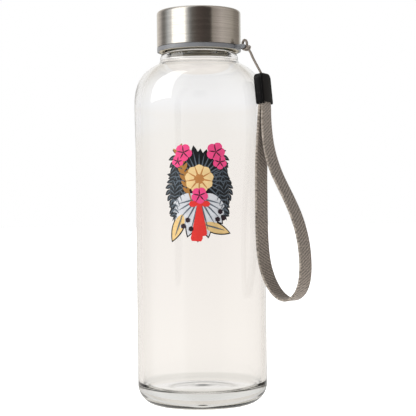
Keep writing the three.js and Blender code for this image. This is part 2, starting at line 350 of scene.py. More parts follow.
def block(name, low, high):
    """A cube stretched between two corners, in millimetres, left open in edit mode."""
    deselect()
    bpy.ops.mesh.primitive_cube_add(size=1)
    piece = new_piece(name)
    size = [b - a for a, b in zip(low, high)]
    middle = [(a + b) / 2 for a, b in zip(low, high)]
    bpy.ops.transform.resize(value=[s * MM for s in size], center_override=(0, 0, 0))
    bpy.ops.transform.translate(value=[m * MM for m in middle])
    return piece


def shade(piece, degrees=40):
    """Shades smooth across edges flatter than an angle."""
    activate(piece)
    bpy.ops.object.shade_smooth_by_angle(angle=math.radians(degrees))


def soften(piece, sharper_than=35):
    """Rounds the edges that are sharper than an angle in degrees, and shades the rest smooth."""
    modified(
        piece,
        "BEVEL",
        width=EDGE_ROUNDING * MM,
        segments=2,
        limit_method="ANGLE",
        angle_limit=math.radians(sharper_than),
        use_clamp_overlap=True,
    )
    shade(piece)


def swept(name, route, section):
    """A closed tube along a route. section(i, distance) gives the section's points, each with its own u. The
    mesh gets a UV map, round the section and along the route."""
    rings = []
    along = 0.0
    for i, point in enumerate(route):
        if i:
            along += (point - route[i - 1]).length
        rings.append((along, section(i, along)))
    count = len(rings[0][1])
    points = [p for _, ring in rings for p, _ in ring]
    faces = []
    marks = []
    for i, ((a, ring), (b, _)) in enumerate(zip(rings, rings[1:])):
        for k in range(count):
            n = (k + 1) % count
            faces.append((i * count + k, i * count + n, (i + 1) * count + n, (i + 1) * count + k))
            u0 = ring[k][1]
            u1 = ring[n][1] if n else u0 + abs(ring[1][1] - ring[0][1])
            marks += [(u0, a), (u1, a), (u1, b), (u0, b)]
    last = (len(rings) - 1) * count
    for end, (at, ring) in ((range(count - 1, -1, -1), rings[0]), (range(last, last + count), rings[-1])):
        faces.append(tuple(end))
        marks += [(ring[k % count][1], at) for k in end]
    mesh = bpy.data.meshes.new(name)
    mesh.from_pydata(points, [], faces)
    layer = mesh.uv_layers.new(name="UVMap")
    for corner, (u, v) in zip(layer.data, marks):
        corner.uv = (u * UV_SCALE, v * UV_SCALE)
    piece = bpy.data.objects.new(name, mesh)
    bpy.context.scene.collection.objects.link(piece)
    enter_edit(piece)
    bpy.ops.mesh.normals_make_consistent(inside=False)
    leave_edit()
    bpy.ops.object.shade_smooth()
    return piece


def headings(route):
    """The direction of the route at each of its points."""
    ends = [route[0], *route, route[-1]]
    return [(c - a).normalized() for a, c in zip(ends, ends[2:])]


# ---------- materials ----------
def add_node(tree, kind, inputs=None, stops=(), **settings):
    """Adds a node, sets its properties and a ramp's stops, and gives its inputs a value or a link."""
    node = tree.nodes.new(kind)
    for name, value in settings.items():
        setattr(node, name, value)
    for name, value in (inputs or {}).items():
        if isinstance(value, bpy.types.NodeSocket):
            tree.links.new(value, node.inputs[name])
        else:
            node.inputs[name].default_value = value
    if stops:
        elements = node.color_ramp.elements
        for position, value in stops[1:-1]:
            elements.new(position).color = value
        elements[0].position, elements[0].color = stops[0]
        elements[-1].position, elements[-1].color = stops[-1]
    return node


def new_material(name, **shader):
    """A material with one Principled shader, whose constants are set on its own sockets."""
    material = bpy.data.materials.new(name)
    material.use_nodes = True
    tree = material.node_tree
    tree.nodes.clear()
    names = {k.replace("_", " ").title().replace("Ior", "IOR"): v for k, v in shader.items()}
    node = add_node(tree, "ShaderNodeBsdfPrincipled", names)
    add_node(tree, "ShaderNodeOutputMaterial", {"Surface": node.outputs[0]})
    return material, tree, node


def speckle(tree, grains, detail=3.0, source="Object"):
    """An uneven pattern, with its grains along each axis to a metre or to a unit of the UV map."""
    place = add_node(tree, "ShaderNodeTexCoord").outputs[source]
    scaled = add_node(tree, "ShaderNodeMapping", {"Vector": place, "Scale": grains}).outputs[0]
    settings = {"Vector": scaled, "Scale": 1.0, "Detail": detail, "Roughness": 0.6}
    return add_node(tree, "ShaderNodeTexNoise", settings).outputs["Fac"]


def shades(value, low, high):
    """Two stops that take a colour from a darker to a lighter share of itself."""
    dark, light = (tuple(min(1, c * k) for c in value[:3]) + (1,) for k in (low, high))
    return [(0.3, dark), (0.7, light)]


def cover(tree, shader, tone, stops, height, strength, depth):
    """Colours a surface by one pattern, and raises it by another, to a depth in millimetres."""
    ramp = add_node(tree, "ShaderNodeValToRGB", {"Fac": tone}, stops)
    relief = {"Height": height, "Strength": strength, "Distance": depth * MM}
    tree.links.new(ramp.outputs["Color"], shader.inputs["Base Color"])
    tree.links.new(add_node(tree, "ShaderNodeBump", relief).outputs[0], shader.inputs["Normal"])
    return ramp.outputs["Color"]


def grained(name, value, roughness, grain, depth, low=0.92, high=1.06, **shader):
    """Moulded plastic or rubber: an even colour with a fine spark-eroded grain of the given size, mm."""
    material, tree, node = new_material(name, roughness=roughness, **shader)
    size = 1 / (grain * MM)
    fine, broad = (speckle(tree, (size / share,) * 3) for share in (1, 12))
    cover(tree, node, broad, shades(value, low, high), fine, 0.5, depth)
    return material


def soda_lime_glass():
    """Blown soda-lime glass, fire polished: sharp reflections, and a faint straw-grey tint where thick."""
    material, tree, _ = new_material(
        "soda_lime_glass", base_color=to_linear("#FFFFFF"), roughness=0.0, ior=1.5, transmission_weight=1.0
    )
    tint = add_node(tree, "ShaderNodeVolumeAbsorption", {"Color": to_linear("#D8D7D0"), "Density": 12.0})
    output = next(n for n in tree.nodes if n.type == "OUTPUT_MATERIAL")
    tree.links.new(tint.outputs[0], output.inputs["Volume"])
    return material


def brushed_stainless_steel():
    """Stainless steel brushed round the cap: reflections stay sharp across the lines and smear along the
    height, and hair-fine lines show as streaks of lighter and darker metal."""
    material, tree, node = new_material(
        "brushed_stainless_steel", metallic=1.0, anisotropic=0.98, anisotropic_rotation=0.25
    )
    tangent = add_node(tree, "ShaderNodeTangent", direction_type="RADIAL", axis="Z")
    tree.links.new(tangent.outputs[0], node.inputs["Tangent"])
    # Real lines are some 0.05 mm apart; they are drawn 0.3 mm apart, the finest that shows.
    line_pitch, line_length = 0.3, 30.0
    lines = speckle(tree, (1 / (line_length * MM),) * 2 + (1 / (line_pitch * MM),), detail=4)
    rough = add_node(tree, "ShaderNodeMapRange", {"Value": lines, "To Min": 0.2, "To Max": 0.3})
    tree.links.new(rough.outputs[0], node.inputs["Roughness"])
    cover(tree, node, lines, shades(colours().steel, 0.8, 1.14), lines, 0.4, 0.012)
    return material


def zinc_plated_steel():
    """Pressed sheet with a bright zinc coat: cool, slightly mottled metal."""
    material, tree, node = new_material("zinc_plated_steel", metallic=1.0, roughness=0.34)
    spangles = 1.2  # to a millimetre
    mottle = speckle(tree, (spangles / MM,) * 3)
    cover(tree, node, mottle, shades(to_linear("#C9CACB"), 0.88, 1.05), mottle, 0.3, 0.02)
    return material


def braided_polyester():
    """Round braided cord: dull yarn with a soft sheen, and fine slanted filaments."""
    material, tree, node = new_material(
        "braided_polyester", roughness=0.85, sheen_weight=0.25, sheen_roughness=0.5
    )
    across, along = 9, 3  # filaments to a millimetre
    filaments = speckle(tree, (across / UV_MM, along / UV_MM, 1), 2, "UV")
    cover(tree, node, filaments, shades(colours().cord, 0.72, 1.2), filaments, 0.6, 0.05)
    return material


def twill_webbing():
    """Twill-woven polyester tape: slanted ribs of grey-brown yarn with a faint glint, and a paler stitched
    edge whose colour is partly a painted highlight.
    """
    material, tree, node = new_material(
        "twill_webbing", roughness=0.72, sheen_weight=0.3, sheen_roughness=0.4
    )
    uv = add_node(tree, "ShaderNodeTexCoord").outputs["UV"]
    place = add_node(tree, "ShaderNodeSeparateXYZ", {"Vector": uv}).outputs
    ribs = 2 * math.pi / (sizes().twill_pitch * UV_SCALE)
    across, along = 0.9, 1.1  # yarns to a millimetre
    yarn = speckle(tree, (across / UV_MM, along / UV_MM, 1), 4, "UV")
    # The edge mark blends in the paler edge colour: stitched yarn, with a painted highlight on the edges.
    selvage = add_node(tree, "ShaderNodeAttribute", attribute_name="selvage", attribute_type="GEOMETRY")
    # Each step is an operation and its values, where None stands for the step before.
    weave = None
    for operation, *values in (
        ("MULTIPLY_ADD", place["X"], -TWILL_SLOPE, place["Y"]),
        ("MULTIPLY", None, ribs),
        ("COSINE", None),
        ("MULTIPLY_ADD", None, 0.13, yarn),
    ):
        inputs = {k: weave if value is None else value for k, value in enumerate(values)}
        weave = add_node(tree, "ShaderNodeMath", inputs, operation=operation).outputs[0]
    lifted = {0: yarn, 1: 2.4, 2: -0.9}
    stitches = add_node(tree, "ShaderNodeMath", lifted, operation="MULTIPLY_ADD", use_clamp=True)
    both = {0: selvage.outputs["Fac"], 1: stitches.outputs[0]}
    shown = add_node(tree, "ShaderNodeMath", both, operation="MULTIPLY")
    tone = cover(tree, node, weave, shades(colours().strap, 0.4, 1.6), weave, 0.5, 0.08)
    blend = {"Factor": shown.outputs[0], "A": tone, "B": colours().selvage}
    blended = add_node(tree, "ShaderNodeMix", blend, data_type="RGBA")
    tree.links.new(blended.outputs["Result"], node.inputs["Base Color"])
    return material


def screen_ink(name, value):
    """Fired screen ink: dense, slightly uneven colour that lies on the glass with a satin skin."""
    return grained(name, value, 0.42, 0.5, 0.004, low=0.9, high=1.08)


def finish(piece, material, body, slot, *nodes):
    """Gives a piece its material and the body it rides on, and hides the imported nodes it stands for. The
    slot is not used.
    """
    piece.data.materials.clear()
    piece.data.materials.append(material)
    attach(piece, body)
    if nodes:
        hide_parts(*nodes)


# ---------- operators ----------
class BOTTLE_OT_camera(bpy.types.Operator):
    """Place the camera in front of the bottle, level with its middle"""

    bl_idname = "bottle.camera"
    bl_label = "Camera"

    def execute(self, context):
        distance, height, aside = 0.62, 0.102, 0.0038
        roll = math.radians(-0.64)
        lens = bpy.data.cameras.new("camera")
        lens.lens, lens.sensor_width = 102.2, 36.0
        camera = bpy.data.objects.new("camera", lens)
        context.scene.collection.objects.link(camera)
        place = TO_CAMERA * distance + TO_RIGHT * aside + Vector((0, 0, height))
        camera.matrix_world = (
            Matrix.Translation(place)
            @ Matrix.Rotation(CAMERA_AZIMUTH, 4, "Z")
            @ Matrix.Rotation(math.pi / 2, 4, "X")
            @ Matrix.Rotation(roll, 4, "Z")
        )
        context.scene.camera = camera
        return {"FINISHED"}


class BOTTLE_OT_hitch_cord(bpy.types.Operator):
    """Loop the thin cord round the eye's bar in a lark's head"""

    bl_idname = "bottle.hitch_cord"
    bl_label = "Hitch Cord"

    def execute(self, context):
        diameter = sizes().cord_diameter
        route = smooth_route(HITCH_ROUTE, 0.16)
        ahead = headings(route)
        side = Vector((0, 1, 0))
        sides = []
        for direction in ahead:
            side = (side - direction * side.dot(direction)).normalized()
            sides.append(side)
        strands, lay, count, strand_swell = 3, 2.4 * MM, 18, 0.09

        def section(i, along):
            across = ahead[i].cross(sides[i])
            made = []
            for k in range(count):
                turn = 2 * math.pi * k / count
                swell = 1 + strand_swell * math.cos(strands * turn - 2 * math.pi * along / lay * strands)
                reach = diameter / 2 * swell
                offset = sides[i] * math.cos(turn) * reach + across * math.sin(turn) * reach
                made.append((route[i] + offset, turn * diameter / 2))
            return made

        cord = swept("hitch_cord_braid", route, section)
        finish(cord, braided_polyester(), "cord", "cord", "hitch_cord")
        return {"FINISHED"}


class BOTTLE_OT_strap(bpy.types.Operator):
    """Weave the flat strap along its loop, ribs and raised edges included, and mark the edges that take the
    paler edge colour with its painted highlight
    """

    bl_idname = "bottle.strap"
    bl_label = "Woven Strap"

    def execute(self, context):
        loop, pitch = sizes().strap_length, sizes().twill_pitch
        skin, rib_height = 0.05 * MM, 0.085 * MM  # how far the selvage and a rib stand out of the core
        selvage, rib_fade, mark_fade = 0.5 * MM, 0.4 * MM, 0.3 * MM
        half_width = sizes().strap_width / 2
        half_thick = sizes().strap_thickness / 2 - skin
        route = smooth_route(STRAP_ROUTE, 0.26)
        ahead = headings(route)
        flat, edge = 22, 5  # steps across the face and round an edge
        face = half_width - half_thick
        side = [((2 * i / flat - 1) * face, half_thick) for i in range(flat + 1)]
        bends = [math.pi * k / edge for k in range(1, edge)]
        side += [(face + half_thick * math.sin(t), half_thick * math.cos(t)) for t in bends]
        outline = side + [(-y, -n) for y, n in side]
        most_twist, least_share, free_after = math.radians(12), 0.6, 30 * MM

        def section(i, along):
            freed = clamped(min(along, loop - along) / free_after)
            sway = least_share + (1 - least_share) * math.sin(math.pi * along / loop)
            twist = most_twist * freed * sway
            wide = Vector((math.sin(twist), math.cos(twist), 0))
            wide = (wide - ahead[i] * wide.dot(ahead[i])).normalized()
            thick = ahead[i].cross(wide)
            made = []
            for y, n in outline:
                inside = clamped((half_width - abs(y) - selvage) / rib_fade)
                rib = math.cos(2 * math.pi * (along - TWILL_SLOPE * y) / pitch) * 0.5 + 0.5
                raised = n / half_thick * (skin * (1 - inside) + rib_height * rib * inside)
                made.append((route[i] + wide * y + thick * (n + raised), y))
            return made

        strap = swept("woven_strap", route, section)
        # Marks both edges for the paler colour: selvage yarn with a painted highlight on it.
        mark = strap.data.attributes.new("selvage", "FLOAT", "POINT")
        ring = [clamped((abs(y) - half_width + selvage) / mark_fade) for y, _ in outline]
        mark.data.foreach_set("value", ring * len(route))
        finish(strap, twill_webbing(), "clip", "webbing", "webbing_strap")
        return {"FINISHED"}


class BOTTLE_OT_glass(bpy.types.Operator):
    """Spin the glass body with its thick base, its shoulder and the threaded neck"""

    bl_idname = "bottle.glass"
    bl_label = "Glass Body"

    def execute(self, context):
        inner = BODY_R - WALL
        outside = [
            *line((0, 1.5), (9, 1.45), 4),
            *bezier([(13, 1.4), (16.6, 1.3), (16.6, 0), (19.2, 0)], 10),
            *arc(BODY_R - HEEL_R, HEEL_R, HEEL_R, -90, 0, 24),
            *line((BODY_R, 20), (BODY_R, 125), 14),
            *bezier([(BODY_R, 130), (BODY_R, 139), (SHOULDER_R, 147), (SHOULDER_R, SHOULDER_Z)], 8),
            *bezier([(SHOULDER_R, SHOULDER_Z), (SHOULDER_R, 167), (30.6, 172.9), (22.6, 176.9)], 36)[1:],
            *bezier([(22.1, 177.15), (NECK_R + 0.1, 178), (NECK_R, 179.6)], 8),
            *bezier([(NECK_R, 179.7), (NECK_R, 182), (NECK_R - 0.9, 182.9), (FINISH_R + 0.7, 183.1)], 9)[1:],
            *bezier([(FINISH_R + 0.4, 183.2), (FINISH_R, 183.3), (FINISH_R, 183.9)], 3),
            *line((FINISH_R, 184.2), (FINISH_R, RIM_Z - 1.1), 64),
        ]
        rim = [
            *arc(FINISH_R - 0.8, RIM_Z - 0.8, 0.8, 0, 90, 6),
            *arc(BORE_R + 0.5, RIM_Z - 0.5, 0.5, 90, 180, 5),
        ]
        inside = [
            *line((BORE_R, RIM_Z - 2), (BORE_R, 185.5), 5),
            *bezier([(BORE_R, 184.8), (BORE_R, 182.6), (18.1, 182.6), (18.1, 178.9)], 14),
            *bezier([(18.1, 178.6), (18.1, 176.8), (19.4, 175.9)], 6)[1:],
            *bezier([(20, 175.6), (27.9, 171.4), (inner + 0.1, 165), (inner + 0.1, SHOULDER_Z - 1)], 32),
            *line((inner, 130), (inner, FLOOR_Z + 12), 12),
            *arc(inner - FLOOR_CORNER, FLOOR_Z + FLOOR_CORNER, FLOOR_CORNER, 0, -90, 14),
            *line((20, FLOOR_Z), (9, FLOOR_Z), 4),
            *bezier([(6, FLOOR_Z), (3, FLOOR_Z), (2, FLOOR_Z + 0.3), (0, FLOOR_Z + 0.3)], 6),
        ]
        glass = turned("glass_body", outside + rim + inside)
        press_thread(glass, FINISH_R, THREAD_DEPTH, THREAD_START_Z)
        activate(glass)
        bpy.ops.object.shade_smooth()
        finish(glass, soda_lime_glass(), "bottle", "clear_glass", "glass_bottle")
        # Bent light isn't traced to the floor, so a clear body would throw a dark shadow that glass doesn't.
        glass.visible_shadow = False
        return {"FINISHED"}


class BOTTLE_OT_cap(bpy.types.Operator):
    """Spin the steel shell, the screw core and the gasket"""

    bl_idname = "bottle.cap"
    bl_label = "Cap"

    def execute(self, context):
        top, corner = TOTAL_HEIGHT, 1.6
        shell = turned(
            "steel_shell",
            [
                (CAP_R - SHEET, SHELL_BOTTOM_Z + 0.1), (CAP_R - SHEET + 0.1, SHELL_BOTTOM_Z),
                (CAP_R - 0.15, SHELL_BOTTOM_Z),
                *arc(CAP_R - 0.15, SHELL_BOTTOM_Z + 0.15, 0.15, -90, 0, 3),
                *line((CAP_R, SHELL_BOTTOM_Z + 1), (CAP_R, top - corner - 0.6), 8),
                *arc(CAP_R - corner, top - corner, corner, 0, 90, 14),
                *line((CAP_R - corner - 1, top), (0, top), 12),
                *line((0, top - SHEET), (CAP_R - corner - 1, top - SHEET), 6),
                *arc(CAP_R - corner, top - corner, corner - SHEET, 90, 0, 8),
            ],
            closed=True,
        )
        shade(shell)
        finish(shell, brushed_stainless_steel(), "cap", "brushed_steel", "cap_shell")

        core_top = TOTAL_HEIGHT - SHEET - 0.2
        outer = CAP_R - SHEET - 0.25
        groove = CORE_BORE_R + 0.85
        core = turned(
            "screw_core",
            [
                (0, core_top - 1.25), (CORE_BORE_R, core_top - 1.25),
                *line((CORE_BORE_R, core_top - 2), (CORE_BORE_R, CORE_BOTTOM_Z + 0.3), 66),
                (CORE_BORE_R + 0.2, CORE_BOTTOM_Z), (groove + 0.8, CORE_BOTTOM_Z),
                (groove + 0.95, CORE_BOTTOM_Z + 0.15), (groove + 0.95, CORE_BOTTOM_Z + 0.7),
                (groove, CORE_BOTTOM_Z + 0.8), (groove, SHELL_BOTTOM_Z + 0.1),
                (outer, SHELL_BOTTOM_Z + 0.1), (outer, core_top - 1.4), (outer - 1.4, core_top),
                (0, core_top),
            ],
            steps=128,
        )
        press_thread(core, CORE_BORE_R, -THREAD_DEPTH, THREAD_START_Z - PITCH / 2)
        shade(core)
        # Moulded polypropylene: waxy warm grey with a faint grain.
        plastic = grained("moulded_polypropylene", to_linear("#CFC5AE"), 0.5, 0.25, 0.01)
        finish(core, plastic, "cap", "grey_polypropylene", "cap_core")

        low, high, inner, outer, edge = RIM_Z + 0.15, RIM_Z + 1.5, 13.5, 18.7, 0.2
        profile = [(inner + edge, low), (outer - edge, low), (outer, low + edge), (outer, high - edge)]
        profile += [(outer - edge, high), (inner + edge, high), (inner, high - edge), (inner, low + edge)]
        gasket = turned("mouth_gasket", profile, closed=True, steps=96)
        shade(gasket, 50)
        # Food-grade silicone: milky, soft and dull.
        rubber = grained("white_silicone", to_linear("#E9E9E4"), 0.62, 0.3, 0.01, subsurface_weight=0.1)
        finish(gasket, rubber, "seal", "silicone", "cap_gasket")
        return {"FINISHED"}


class BOTTLE_OT_ring(bpy.types.Operator):
    """Make the swivel ring: a turned band with two arms and the eye's bar"""

    bl_idname = "bottle.ring"
    bl_label = "Swivel Ring"

    def execute(self, context):
        web, skirt = CORE_BORE_R + 1.05, CAP_R - 0.85
        low, high = CORE_BOTTOM_Z, CORE_BOTTOM_Z + RING_H
        profile = [(web, low + 1), (skirt, low + 1), (skirt, low), (CAP_R, low), (CAP_R, high), (web, high)]
        ring = turned("swivel_band", profile, closed=True)
        nose = RING_H / 2 - 0.15
        for y in (-EYE_HALF, SLOT_HALF):
            arm = block("arm", (skirt + 0.2, y, low), (EYE_X + nose, y + EYE_HALF - SLOT_HALF, high))
            pick(arm, "edges", lambda c: c.x > EYE_X and abs(c.z - EYE_Z) > nose)
            bpy.ops.mesh.bevel(offset=nose * 0.98 * MM, segments=8, affect="EDGES")
            leave_edit()
            cut_or_join(ring, arm, "UNION")
        deselect()
        bpy.ops.mesh.primitive_cylinder_add(
            vertices=24,
            radius=BAR_R * MM,
            depth=(2 * SLOT_HALF + 0.6) * MM,
            location=(EYE_X * MM, 0, EYE_Z * MM),
            rotation=(math.pi / 2, 0, 0),
        )
        bar = activate(bpy.context.object)
        bpy.ops.object.transform_apply(location=True, rotation=True, scale=True)
        cut_or_join(ring, bar, "UNION")
        soften(ring)
        # Moulded nylon: a satin, slightly cool grey.
        nylon = grained("moulded_nylon", colours().ring, 0.3, 0.2, 0.006)
        finish(ring, nylon, "ring", "grey_ring", "swivel_ring")
        return {"FINISHED"}


class BOTTLE_OT_clip(bpy.types.Operator):
    """Mould the two halves of the clip that grips the strap's ends"""

    bl_idname = "bottle.clip"
    bl_label = "Strap Clip"

    def execute(self, context):
        half_x, half_y, height, near = 2.5, 5.7, 16.0, 0.3
        whole = block("clip", (-half_x, -half_y, -height), (half_x, half_y, 0))
        for level, radius in ((0, 3.0), (-height, 1.2)):
            corner = Vector((0, half_y, level))
            pick(whole, "edges", lambda c: (Vector((c.x, abs(c.y), c.z)) - corner).length < near)
            bpy.ops.mesh.bevel(offset=radius * MM, segments=8, affect="EDGES")
        pick(whole, "edges", lambda c: abs(c.x) > half_x - 0.05)
        bpy.ops.mesh.bevel(offset=0.85 * MM, segments=5, affect="EDGES")
        leave_edit()
        mouth = block("mouth", (-1.75, -4.95, -height - 1), (1.75, 4.95, -3.4))
        pick(mouth, "faces", lambda c: c.z < -height)
        bpy.ops.transform.resize(value=(1.5, 1.04, 1))
        leave_edit()
        cut_or_join(whole, mouth, "DIFFERENCE")
        hole = block("hole", (-0.9, -1.4, -4.4), (0.9, 1.4, 1))
        leave_edit()
        cut_or_join(whole, hole, "DIFFERENCE")
        # Moulded ABS: near black, with a satin skin that catches a soft light along its rounded edges.
        plastic = grained("moulded_abs", colours().clip, 0.4, 0.18, 0.012, specular_ior_level=0.1)
        lean = Matrix.Translation(CLIP_TOP * MM) @ Matrix.Rotation(-CLIP_LEAN, 4, "Y")
        halves = (
            ("clip_inner_shell", CLIP_SEAM - 0.1, False, "clip_inner_half"),
            ("clip_outer_shell", CLIP_SEAM + 0.15, True, "clip_outer_half"),
        )
        for name, seam, outer, node in halves:
            half = whole.copy()
            half.data = whole.data.copy()
            half.name = half.data.name = name
            context.scene.collection.objects.link(half)
            enter_edit(half)
            plane = {"plane_co": (seam * MM, 0, 0), "plane_no": (1, 0, 0)}
            bpy.ops.mesh.bisect(**plane, use_fill=True, clear_inner=outer, clear_outer=not outer)
            leave_edit()
            soften(half, 50)
            half.data.transform(lean)
            finish(half, plastic, "clip", "black_plastic", node)
        bpy.data.objects.remove(whole)
        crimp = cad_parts["strap_crimp"]
        crimp.data.materials.clear()
        crimp.data.materials.append(zinc_plated_steel())
        return {"FINISHED"}


class BOTTLE_OT_print(bpy.types.Operator):
    """Lay the printed posy of leaves, blossoms and ribbon on the glass, one ink after another"""

    bl_idname = "bottle.print"
    bl_label = "Printed Motif"

    def execute(self, context):
        leaf = self.blade("leaf", lambda t: math.sin(math.pi * t**0.8) ** 0.8, 0.12)
        petal = self.blade("petal", lambda t: math.sin(math.pi * min(1, t**1.5)) ** 0.55, 0.0)
        tail = self.blade("tail", lambda t: 0.35 + 0.65 * t if t < 0.999 else 0.75, 0.08)
        # A stamp is a shape, where its foot stands across and up, its turn, its length and its width.
        middle, knot = (0.5, 31.0), (0.5, 21.5)
        crown = [(leaf, *middle, -132 + 12 * k, 17 - 2.2 * abs(math.sin(2.1 * k)), 6.2) for k in range(23)]
        pale = [(leaf, *knot, 180 + 15 * k, 21 - 1.5 * abs(k), 7.6) for k in range(-5, 6)]
        sand = [(leaf, -8, 13.5, 160, 14, 5.2), (leaf, 2, 8.5, 254, 14, 5)]
        shadows = [(*stamp[:4], stamp[4] + 1, stamp[5] + 1.1) for stamp in pale + sand]
        sprays = []
        for side in (-1, 1):
            sprays += self.garland((0.5 + side * 9, 43.5), side, 14, leaf)
            sprays += self.garland((0.5 + side * 7, 34), side, 9, leaf)
        dark = crown + shadows + sprays
        ribbed = crown + sprays + pale + sand
        # Thin grey strokes on the leaves: printed midribs, and painted glints on the dark ink.
        veins_and_glints = [(*stamp[:4], 0.85 * stamp[4], min(0.7, 0.2 * stamp[5])) for stamp in ribbed]
        ears = [(leaf, -4.5 - 0.4 * k, 24 + 1.6 * k, 14 + 36 * (-1) ** k, 4.4, 1.9) for k in range(14)]
        ears.append((leaf, -3, 18, 14, 30, 0.9))
        cream = [(petal, *middle, 40 * k, 7.2, 5.2) for k in range(9)]
        amber = [(petal, *middle, 20 + 60 * k, 2.6, 2.0) for k in range(6)]
        amber += [(leaf, *middle, 20 + 40 * k, 6.8, 0.7) for k in range(9)]
        pink, hearts = [], []
        blossoms = [(-7.2, 44.2, 4.4), (-10.2, 39.8, 3), (8.8, 44.4, 4.8), (10.9, 39.2, 3.6)]
        blossoms.append((0.6, 22.8, 4.2))
        for u, v, size in blossoms:
            for k in range(5):
                pink.append((petal, u, v, 72 * k + 10 * size, size, size * 0.9))
                hearts.append((leaf, u, v, 36 + 72 * k + 10 * size, size * 0.8, 0.6))
        berries = ((-5.4, 10.6), (-7.6, 7.6), (-3.8, 6.2), (10.8, 14.6), (12.4, 11.4), (9.4, 10.8))
        hearts += [(petal, u, v, 60 * k, 1.3, 1.2) for u, v in berries for k in range(6)]
        ribbon = [(tail, 0.6, 19.0, 176, 19.0, 6.2), (tail, 0.4, 19.0, 187, 16.5, 4.4)]
        ribbon += [(petal, 0.5, 18.6, 90 * k, 5.2, 3.0) for k in (1, -1)]
        palette = colours()
        inks = (
            ("print_white_base", dark + ears + cream + ribbon + pink, to_linear("#E4E3DF")),
            ("print_dark_leaves", dark, palette.leaf),
            ("print_pale_leaves", pale, to_linear("#CDCFD3")),
            ("print_sand_leaves", sand, to_linear("#DDBB7C")),
            # Grey midribs, which also serve as painted glints on the dark leaves.
            ("print_grey_veins", veins_and_glints, to_linear("#56616B")),
            ("print_ochre_ears", ears, to_linear("#A4702E")),
            ("print_cream_petals", cream, to_linear("#E6C68C")),
            ("print_amber_petals", amber, to_linear("#B97A3C")),
            ("print_red_ribbon", ribbon, palette.ribbon),
            ("print_pink_blossoms", pink, palette.blossom),
            ("print_dark_hearts", hearts, to_linear("#2A1620")),
        )
        lift, ink_gap = 0.02, 0.012
        for name, stamps, value in inks:
            piece = self.stamped(name, stamps, lift)
            finish(piece, screen_ink(name, value), "bottle", None)
            lift += ink_gap + INK_STEP * len(stamps)
        for shape in (leaf, petal, tail):
            bpy.data.objects.remove(shape)
        return {"FINISHED"}

    def blade(self, name, width, bend):
        """One leaf or petal, a millimetre long and wide: a grid whose rows are drawn in to an outline."""
        deselect()
        bpy.ops.mesh.primitive_grid_add(x_subdivisions=2, y_subdivisions=14, size=1)
        piece = bpy.context.object
        piece.name = piece.data.name = name
        for point in piece.data.vertices:
            t = point.co.y + 0.5
            point.co = Vector((point.co.x * max(0.02, width(t)) + bend * t * t, 0, t))
        return piece

    def garland(self, start, side, count, leaf):
        """Leaves in pairs along a stalk that arches out to one side, then hangs down with a gentle sway."""
        stamps = []
        u, v = start
        for k in range(count):
            heading = 270 + side * (68 * 0.55**k - 26 * math.sin(0.8 * k))
            for turn, long, wide in ((-44, 5 - 0.14 * k, 2.3), (44, 5 - 0.14 * k, 2.3), (0, 4, 0.8)):
                stamps.append((leaf, u, v, heading + turn - 90, long, wide))
            u += 2.5 * math.cos(math.radians(heading))
            v += 2.5 * math.sin(math.radians(heading))
        return stamps

    def stamped(self, name, stamps, lift):
        """Shapes copied and laid out flat, joined, wrapped round the glass and given an ink's thickness."""
        copies = []
        for k, (shape, u, v, angle, long, wide) in enumerate(stamps):
            copy = shape.copy()
            copy.data = shape.data.copy()
            bpy.context.scene.collection.objects.link(copy)
            spin = Matrix.Rotation(-math.radians(angle), 4, "Y")
            place = Matrix.Translation((u, INK_STEP * k, v))
            copy.data.transform(place @ spin @ Matrix.Diagonal((wide, 1, long, 1)))
            copies.append(copy)
        deselect()
        for copy in copies:
            copy.select_set(True)
        bpy.context.view_layer.objects.active = copies[0]
        bpy.ops.object.join()
        piece = bpy.context.object
        piece.name = piece.data.name = name
        self.wrap(piece, lift)
        modified(piece, "SOLIDIFY", thickness=0.01 * MM, offset=1)
        return piece

    def wrap(self, piece, lift):
        """Bends flat shapes, in millimetres, round the glass so that they face the print's azimuth."""
        share_u = sizes().print_width / (36 * MM)
        share_v = sizes().print_height / (48.5 * MM)
        foot, swell_from = sizes().print_foot / MM, 128
        for point in piece.data.vertices:
            z = foot + point.co.z * share_v
            swell = clamped((z - swell_from) / (SHOULDER_Z - swell_from)) * (SHOULDER_R - BODY_R)
            radius = BODY_R + swell + lift + point.co.y
            turn = sizes().print_azimuth - math.pi / 2 + point.co.x * share_u / BODY_R
            point.co = Vector((radius * math.cos(turn), radius * math.sin(turn), z)) * MM
        enter_edit(piece)
        bpy.ops.mesh.normals_make_consistent(inside=False)
        leave_edit()
        faces_in = sum(f.normal.dot(Vector((f.center.x, f.center.y, 0))) < 0 for f in piece.data.polygons)
        if faces_in > len(piece.data.polygons) / 2:
            piece.data.flip_normals()


